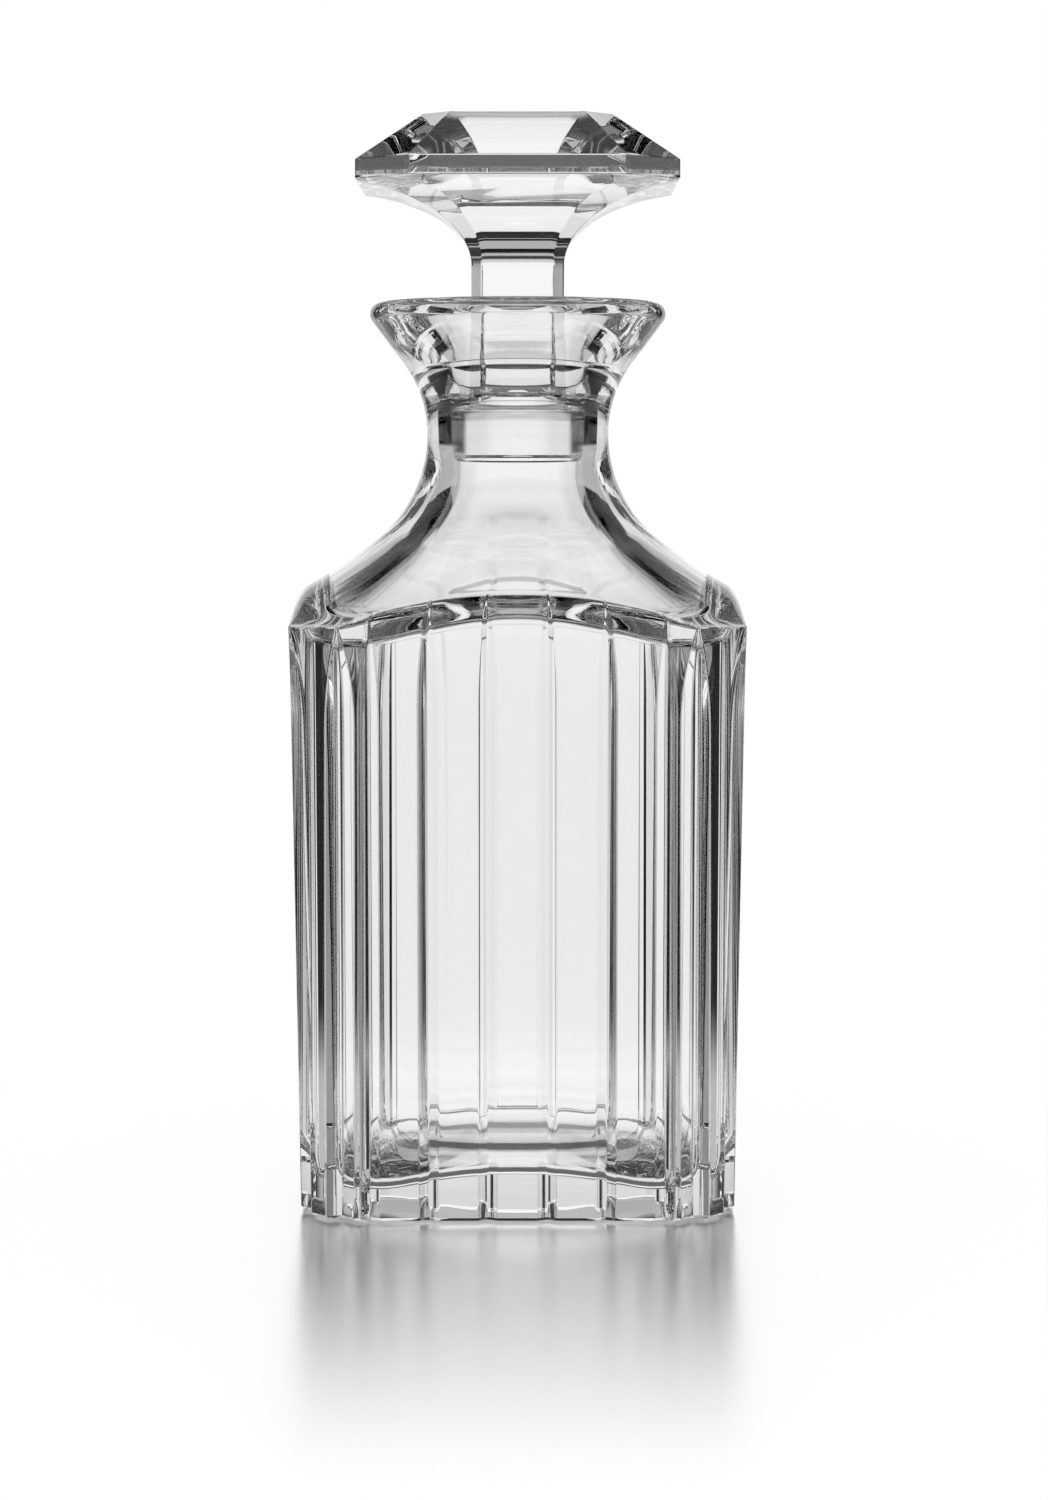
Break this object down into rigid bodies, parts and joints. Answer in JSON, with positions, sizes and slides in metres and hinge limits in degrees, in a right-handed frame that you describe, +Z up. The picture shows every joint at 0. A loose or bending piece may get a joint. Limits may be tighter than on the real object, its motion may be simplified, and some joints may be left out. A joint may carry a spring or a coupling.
{
  "type": "cut crystal decanter",
  "caption": "Square clear crystal decanter with upright mitre-cut grooves, a flared round neck and a solid faceted stopper that lifts out of a tapered seat.",
  "frame": {"origin": "centre of the flat base, on the surface that the decanter stands on", "axes": "+Z up along the neck and the stopper's lift, -Y towards the pictured face, +X to its right"},
  "size_m": [0.098, 0.098, 0.2368],
  "materials": {
    "bottle_crystal": "clear polished lead crystal",
    "stopper_crystal": "clear polished lead crystal"
  },
  "bodies": {
    "bottle": {"bottle": "bottle_crystal"},
    "stopper": {"stopper": "stopper_crystal"}
  },
  "joints": [
    {"name": "stopper_lift", "type": "slide", "parent": "bottle", "child": "stopper", "axis": [0, 0, 1], "range_m": [0, 0.06]}
  ]
}
